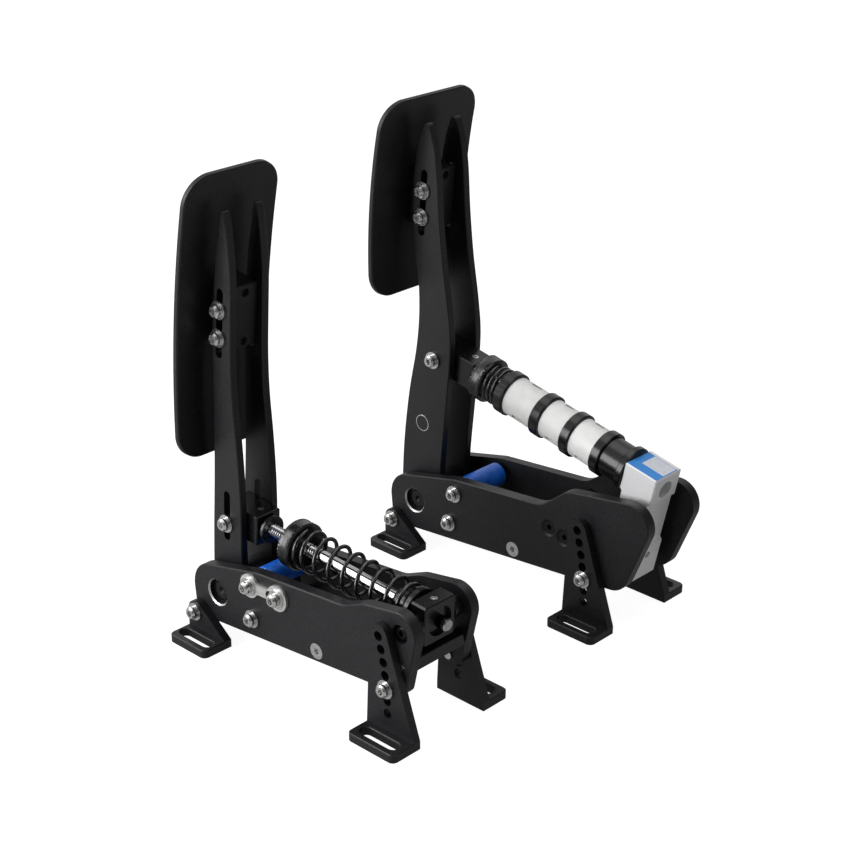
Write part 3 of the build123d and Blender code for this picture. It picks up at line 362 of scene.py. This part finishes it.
def knurledNut(mesh, nut):
    rimStart, rimEnd = nut["start"] + nut["edge"], nut["end"] - nut["edge"]
    pitch = (rimEnd - rimStart) / nut["rows"]
    rim = [(rimStart + pitch * row, nut["radius"]) for row in range(nut["rows"] + 1)]
    profile = [(nut["start"], nut["bore"]), (nut["start"], nut["radius"] - nut["edge"]), *rim,
               (nut["end"], nut["radius"] - nut["edge"]), (nut["end"], nut["bore"])]
    spinProfile(mesh, profile, 2 * nut["teeth"])
    for corner in mesh.verts:  # every other point of the rim goes in, which leaves diamond points
        if hypot(corner.co.y, corner.co.z) > (nut["radius"] - nut["edge"] / 2) * mm:
            row = round((corner.co.x / mm - rimStart) / pitch)
            column = round(atan2(corner.co.z, corner.co.y) / (pi / nut["teeth"]))
            if (row + column) % 2 and 0 < row < nut["rows"]:
                corner.co.yz = corner.co.yz * (1 - nut["depth"] / nut["radius"])


nutMesh = bmesh.new()
knurledNut(nutMesh, throttleNut)
collarMesh = bmesh.new()
spinProfile(collarMesh, bevelledRing(throttleCollar["start"], throttleCollar["end"], throttleCollar["radius"],
                                     throttleCollar["bore"], throttleCollar["edge"]), roundSteps)
collarData = bpy.data.meshes.new("collarData")
collarMesh.to_mesh(collarData)
collarMesh.free()
nutMesh.from_mesh(collarData)
finishPiece(nutMesh, "throttle_knurled_nuts", "throttle_rod", knurl, ["throttle_rod_nuts"],
            rodMatrix(throttleRod), 25)
nutMesh = bmesh.new()
knurledNut(nutMesh, brakeNut)
finishPiece(nutMesh, "brake_knurled_nut", "brake_rod", knurl, ["brake_rod_nuts"],
            rodMatrix(brakeRod), 25)
print("knurled nuts made")


# rods with a cut thread at the front

# the real pitch of 1.25 mm is too fine to show
rodThread = {"start": 5.6, "pitch": 1.9, "depth": 0.6, "steps": 40, "tipEdge": 0.8, "shoulderEdge": 0.5}


def cutEnd(mesh, placeMm, outwards):
    cut = bmesh.ops.bisect_plane(mesh, geom=mesh.verts[:] + mesh.edges[:] + mesh.faces[:],
                                 plane_co=(placeMm * mm, 0, 0), plane_no=(outwards, 0, 0), clear_outer=True,
                                 dist=mergeDistance["cut"])
    rim = [item for item in cut["geom_cut"] if isinstance(item, bmesh.types.BMEdge)]
    bmesh.ops.holes_fill(mesh, edges=rim, sides=0)


def threadedRod(name, rod, body, replaced):
    radius, root = rod["diameter"] / 2, rod["diameter"] / 2 - rodThread["depth"]
    turns = int((rod["threadEnd"] - rodThread["start"]) / rodThread["pitch"]) + 3
    mesh = bmesh.new()
    points = []
    for turn in range(turns):
        place = rodThread["start"] + (turn - 2) * rodThread["pitch"]
        points += [mesh.verts.new((place * mm, 0, root * mm)),
                   mesh.verts.new(((place + rodThread["pitch"] / 2) * mm, 0, radius * mm))]
    lines = [mesh.edges.new(pair) for pair in zip(points, points[1:])]
    bmesh.ops.spin(mesh, geom=points + lines, cent=(0, 0, 0), axis=(1, 0, 0),
                   dvec=(rodThread["pitch"] * mm / rodThread["steps"], 0, 0), angle=2 * pi,
                   steps=rodThread["steps"], use_merge=False, use_duplicate=False)
    bmesh.ops.remove_doubles(mesh, verts=mesh.verts, dist=mergeDistance["thread"])
    cutEnd(mesh, rodThread["start"], -1)
    cutEnd(mesh, rod["threadEnd"], 1)
    solids = [[(rod["threadEnd"], 0), (rod["threadEnd"], radius), (rod["tip"] - rodThread["tipEdge"], radius),
               (rod["tip"], radius - rodThread["tipEdge"]), (rod["tip"], 0)]]
    if rod["shoulder"]:
        start, end, width = rod["shoulder"]
        solids.append(bevelledRing(start, end, width / 2, root, rodThread["shoulderEdge"]))
    for profile in solids:
        smooth = bmesh.new()
        spinProfile(smooth, profile, roundSteps)
        data = bpy.data.meshes.new(name + "Part")
        smooth.to_mesh(data)
        smooth.free()
        mesh.from_mesh(data)
    bmesh.ops.recalc_face_normals(mesh, faces=mesh.faces)
    return finishPiece(mesh, name, body, chrome, [replaced], rodMatrix(rod), 32)


threadedRod("throttle_push_rod", throttleRod, "throttle_rod", "throttle_rod")
threadedRod("brake_push_rod", brakeRod, "brake_rod", "brake_rod")
print("threaded rods made")


# springs and elastomers, each given a mesh of its own

elastomers = {"brake_elastomer_1": {"start": 67.95, "end": 94.65, "body": "brake_ring_2",
                                    "joint": "brake_ring_1_slide", "stroke": 2.2},
              "brake_elastomer_2": {"start": 102.85, "end": 123.35, "body": "brake_ring_3",
                                    "joint": "brake_ring_2_slide", "stroke": 1.55},
              "brake_elastomer_3": {"start": 131.15, "end": 151.65, "body": "brake_stack",
                                    "joint": "brake_ring_3_slide", "stroke": 1.55}}
elastomerForm = {"radius": 14.8, "bore": 4.45, "edge": 0.5, "steps": 72, "slitWidth": 3, "slitDepth": 2.6,
                 "slitSpan": (0.36, 0.72), "slitAngles": (-122.5, 17.5), "turnSlack": 0.1, "depthSlack": 0.2}


def shorten(piece):
    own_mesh(piece)


coil = copyNode("throttle_spring", "throttle_coil_spring", enamel, "throttle_rod", 60)
shorten(coil)
coil = copyNode("brake_spring", "brake_preload_spring", enamel, "brake_rod", 60)
shorten(coil)


def elastomerTube(node, tube):
    form = elastomerForm
    length = tube["end"] - tube["start"]
    slit = [tube["start"] + share * length for share in form["slitSpan"]]
    outline = bevelledRing(tube["start"], tube["end"], form["radius"], form["bore"], form["edge"])
    outline[3:3] = [(place, form["radius"]) for place in slit]
    mesh = bmesh.new()
    spinProfile(mesh, outline, form["steps"])
    halfSlit = 360 / form["steps"] * form["slitWidth"] / 2
    for angle in form["slitAngles"]:
        across = []
        for face in mesh.faces:
            middle = face.calc_center_median()
            turned = (degrees(atan2(middle.y, middle.z)) - angle + 180) % 360 - 180
            if (slit[0] * mm < middle.x < slit[1] * mm and abs(turned) < halfSlit + form["turnSlack"]
                    and hypot(middle.y, middle.z) > (form["radius"] - form["depthSlack"]) * mm):
                across.append(face)
        inner = bmesh.ops.extrude_face_region(mesh, geom=across)
        corners = [item for item in inner["geom"] if isinstance(item, bmesh.types.BMVert)]
        bmesh.ops.delete(mesh, geom=across, context="FACES")
        inwards = Vector((0, -sin(radians(angle)), -cos(radians(angle)))) * form["slitDepth"] * mm
        # the slit's walls and floor take the black anodised material as painted shade: the real slit is white
        # elastomer, dark only from shade
        for item in inner["geom"]:
            if isinstance(item, bmesh.types.BMFace):
                item.material_index = 1
        bmesh.ops.translate(mesh, vec=inwards, verts=corners)
    bmesh.ops.recalc_face_normals(mesh, faces=mesh.faces)
    piece = finishPiece(mesh, node.replace("elastomer", "white_elastomer"), tube["body"],
                        [elastomer, anodisedAndSlitShade], [node], rodMatrix(brakeRod))
    shorten(piece)


for node, tube in elastomers.items():
    elastomerTube(node, tube)
print("springs and elastomers made")


# black trunnion screws at the throttle's rear block, the other fasteners staying bright

trunnion = {"x": 82.04, "z": 76.73, "reach": 8.0}


def twoToneFasteners():
    piece = copyNode("throttle_frame_fasteners", "throttle_frame_screws", [steel, oxide],
                     "bases", 30)
    for face in piece.data.polygons:
        away = hypot(face.center.x - trunnion["x"] * mm, face.center.z - trunnion["z"] * mm)
        if away < trunnion["reach"] * mm:
            face.material_index = 1


twoToneFasteners()
print("throttle frame screws made")


# thin bright rings pressed into the brake arms round their threaded inserts

insertRing = {"x": -99.998, "z": 97.507, "armMiddle": 98.75, "armOutside": 17.0, "outer": 6.48, "bore": 5.82,
              "sunk": 0.7, "proud": 0.06, "edge": 0.08, "steps": 48}


def insertRingPiece(name, side):
    mesh = bmesh.new()
    start = insertRing["armOutside"] - insertRing["sunk"]
    end = insertRing["armOutside"] + insertRing["proud"]
    spinProfile(mesh, bevelledRing(start, end, insertRing["outer"], insertRing["bore"], insertRing["edge"]),
                insertRing["steps"])
    place = Matrix.Translation((insertRing["x"] * mm, insertRing["armMiddle"] * mm, insertRing["z"] * mm))
    finishPiece(mesh, name, "brake_pedal", steel,
                matrix=place @ Matrix.Rotation(radians(side * 90), 4, "Z"))


insertRingPiece("brake_insert_ring_near", -1)
insertRingPiece("brake_insert_ring_far", 1)
print("insert rings made")


# small socket set screws in the blocks

setScrew = {"radius": 2.45, "length": 4.0, "socket": 1.25, "socketDepth": 1.8, "sunk": 0.15, "steps": 36,
            "rimShare": 1.1}
setScrewPlaces = {"throttle_front_set_screw": (throttleRod, 15.0, 11.0, "throttle_rod"),
                  "brake_front_set_screw": (brakeRod, 25.0, 11.0, "brake_rod"),
                  "throttle_rear_set_screw": (throttleRod, 179.02, 14.3, "bases")}


def hexScrew(name, rod, along, top, body):
    mesh = bmesh.new()
    head = bmesh.ops.create_circle(mesh, cap_ends=True, radius=setScrew["radius"] * mm,
                                   segments=setScrew["steps"])
    bmesh.ops.translate(mesh, verts=head["verts"], vec=(0, 0, -setScrew["sunk"] * mm))
    rim = setScrew["radius"] - setScrew["socket"] * setScrew["rimShare"]
    bmesh.ops.inset_region(mesh, faces=mesh.faces[:], thickness=rim * mm, use_boundary=True,
                           use_even_offset=True)
    face = max(mesh.faces, key=lambda each: len(each.verts))
    corners = list(face.verts)
    for corner in corners:  # the inner loop becomes a hexagon
        angle = atan2(corner.co.y, corner.co.x)
        nearest = round(angle / (pi / 3) - 0.5) * (pi / 3) + pi / 6
        reach = setScrew["socket"] * mm / cos(angle - nearest)
        corner.co.x, corner.co.y = reach * cos(angle), reach * sin(angle)
    pit = bmesh.ops.extrude_face_region(mesh, geom=[face])
    bmesh.ops.delete(mesh, geom=[face], context="FACES")
    bmesh.ops.translate(mesh, verts=[v for v in pit["geom"] if isinstance(v, bmesh.types.BMVert)],
                        vec=(0, 0, -setScrew["socketDepth"] * mm))
    outer = [edge for edge in mesh.edges if edge.is_boundary]
    wall = bmesh.ops.extrude_edge_only(mesh, edges=outer)
    lower = [v for v in wall["geom"] if isinstance(v, bmesh.types.BMVert)]
    bmesh.ops.translate(mesh, verts=lower, vec=(0, 0, -setScrew["length"] * mm))
    bmesh.ops.holes_fill(mesh, edges=[e for e in mesh.edges if e.is_boundary], sides=0)
    bmesh.ops.recalc_face_normals(mesh, faces=mesh.faces)
    finishPiece(mesh, name, body, steel,
                matrix=rodMatrix(rod) @ Matrix.Translation((along * mm, 0, top * mm)))


for name, place in setScrewPlaces.items():
    hexScrew(name, *place)
print("set screws made")


# bare label plate on the load cell

labelPlate = {"front": 180.9, "depth": 27.5, "top": 12.3, "halfWidth": 14.35, "film": 0.15, "margin": 0.9,
              "farMargin": 3.0, "blueFront": 6.2, "blueSide": 8.6, "blueEdge": 0.6, "raise": 0.1,
              "corner": 0.5}


def filmPatch(name, corners, bottom, thickness, material):
    (x0, y0), (x1, y1) = corners
    mesh = bmesh.new()
    patch = bmesh.ops.create_cube(mesh, size=1.0)
    bmesh.ops.scale(mesh, vec=((x1 - x0) * mm, (y1 - y0) * mm, thickness * mm), verts=patch["verts"])
    middle = Vector(((x0 + x1) / 2, (y0 + y1) / 2, bottom + thickness / 2)) * mm
    bmesh.ops.translate(mesh, vec=middle, verts=mesh.verts)
    upright = [edge for edge in mesh.edges
               if abs(edge.verts[0].co.z - edge.verts[1].co.z) > 0.5 * thickness * mm]
    bmesh.ops.bevel(mesh, geom=upright, offset=labelPlate["corner"] * mm, offset_type="OFFSET", segments=4,
                    profile=0.5, affect="EDGES", material=-1)
    finishPiece(mesh, name, "bases", material, matrix=rodMatrix(brakeRod))


plateEdge = labelPlate["halfWidth"] - labelPlate["margin"]
plateFar = plateEdge - labelPlate["farMargin"]
plateFront = labelPlate["front"] + labelPlate["margin"]
plateRear = labelPlate["front"] + labelPlate["depth"] - labelPlate["margin"]
filmPatch("cell_label_plate", ((plateFront, -plateEdge), (plateRear, plateFar)),
          labelPlate["top"], labelPlate["film"], labelBlue)
filmPatch("cell_label_panel", ((plateFront + labelPlate["blueFront"], -plateEdge + labelPlate["blueSide"]),
                               (plateRear - labelPlate["blueEdge"], plateFar - labelPlate["blueEdge"])),
          labelPlate["top"] + labelPlate["film"], labelPlate["raise"], labelPale)
print("label plate made")


# floor, light and camera

floorPlane = {"size": 30.0, "diffuse": "#9a9a9a", "glow": 0.93, "mirrored": 0.2}


def paleFloor():
    mesh = bmesh.new()
    bmesh.ops.create_grid(mesh, x_segments=1, y_segments=1, size=floorPlane["size"] / 2)
    data = bpy.data.meshes.new("floor")
    mesh.to_mesh(data)
    mesh.free()
    floor = bpy.data.objects.new("floor", data)
    bpy.context.scene.collection.objects.link(floor)
    material = bpy.data.materials.new("paleFloor")
    material.use_nodes = True
    tree = material.node_tree
    tree.nodes.clear()
    board = addNode(tree, "BsdfDiffuse", {"Color": linearColour(floorPlane["diffuse"])})
    ray = addNode(tree, "LightPath", {})
    mirrored = addNode(tree, "Math", {"operation": "MULTIPLY", 1: floorPlane["mirrored"]},
                       {0: ray.outputs["Is Glossy Ray"]})
    seen = addNode(tree, "Math", {"operation": "MAXIMUM"},
                   {0: ray.outputs["Is Camera Ray"], 1: mirrored.outputs[0]})
    seenThrough = addNode(tree, "Math", {"operation": "MAXIMUM"},
                          {0: seen.outputs[0], 1: ray.outputs["Is Transmission Ray"]})
    strength = addNode(tree, "Math", {"operation": "MULTIPLY", 1: floorPlane["glow"]},
                       {0: seenThrough.outputs[0]})
    glow = addNode(tree, "Emission", {"Color": (1, 1, 1, 1)}, {"Strength": strength.outputs[0]})
    both = addNode(tree, "AddShader", {}, {0: board.outputs[0], 1: glow.outputs[0]})
    addNode(tree, "OutputMaterial", {}, {"Surface": both.outputs[0]})
    data.materials.append(material)


studioAir = {"shown": 1.0, "ambient": 0.2, "mirrorBehind": 0.8, "mirrorFront": 0.12, "turnStart": -0.2,
             "turnEnd": 0.35}


def studioWorld():
    # a white room for the camera; reflections see white behind the set and a dim studio in front of it
    world = bpy.data.worlds.new("studio")
    bpy.context.scene.world = world
    world.use_nodes = True
    tree = world.node_tree
    tree.nodes.clear()
    ray = addNode(tree, "LightPath", {})
    facing = addNode(tree, "TexCoord", {})
    sides = addNode(tree, "SeparateXYZ", {}, {"Vector": facing.outputs["Generated"]})
    mirrored = addNode(tree, "MapRange", {"From Min": studioAir["turnStart"],
                                          "From Max": studioAir["turnEnd"],
                                          "To Min": studioAir["mirrorBehind"],
                                          "To Max": studioAir["mirrorFront"]},
                       {"Value": sides.outputs["X"]})
    lit = addNode(tree, "Background", {"Color": (1, 1, 1, 1), "Strength": studioAir["ambient"]})
    reflected = addNode(tree, "Background", {"Color": (1, 1, 1, 1)}, {"Strength": mirrored.outputs["Result"]})
    shown = addNode(tree, "Background", {"Color": (1, 1, 1, 1), "Strength": studioAir["shown"]})
    seen = addNode(tree, "Math", {"operation": "MAXIMUM"},
                   {0: ray.outputs["Is Camera Ray"], 1: ray.outputs["Is Transmission Ray"]})
    light = addNode(tree, "MixShader", {},
                    {0: ray.outputs["Is Glossy Ray"], 1: lit.outputs[0], 2: reflected.outputs[0]})
    pick = addNode(tree, "MixShader", {}, {0: seen.outputs[0], 1: light.outputs[0], 2: shown.outputs[0]})
    addNode(tree, "OutputWorld", {}, {"Surface": pick.outputs[0]})


softLights = {"keySoftbox": {"place": (-0.55, -1.3, 0.5), "aim": (0, -0.05, 0.13), "size": 0.9, "watts": 19},
              "edgeSoftbox": {"place": (-1.25, -0.85, 1.35), "aim": (0, 0, 0.1), "size": 0.8, "watts": 9},
              "topSoftbox": {"place": (0.1, 0.3, 2.0), "aim": (0, 0, 0.1), "size": 1.6, "watts": 12},
              "rightSoftbox": {"place": (2.0, 0.4, 0.9), "aim": (0, 0, 0.15), "size": 1.0, "watts": 4}}


def addSoftbox(name, light):
    lamp = bpy.data.lights.new(name, "AREA")
    lamp.shape, lamp.size, lamp.energy = "SQUARE", light["size"], light["watts"]
    box = bpy.data.objects.new(name, lamp)
    bpy.context.scene.collection.objects.link(box)
    box.location = light["place"]
    box.rotation_euler = (Vector(light["aim"]) - Vector(light["place"])).to_track_quat("-Z", "Y").to_euler()


photoCamera = {"place": (0.78115, -0.83802, 0.66497), "azimuth": 43.68, "elevation": 24.08, "lens": 78.0,
               "sensor": 36.0, "nearest": 0.01}


def addCamera():
    lens = bpy.data.cameras.new("photoCamera")
    lens.lens, lens.sensor_width = photoCamera["lens"], photoCamera["sensor"]
    lens.clip_start = photoCamera["nearest"]
    camera = bpy.data.objects.new("photoCamera", lens)
    bpy.context.scene.collection.objects.link(camera)
    camera.location = photoCamera["place"]
    camera.rotation_euler = (radians(90 - photoCamera["elevation"]), 0, radians(photoCamera["azimuth"]))
    bpy.context.scene.camera = camera


paleFloor()
studioWorld()
for name, light in softLights.items():
    addSoftbox(name, light)
addCamera()
print("floor, lights and camera set")
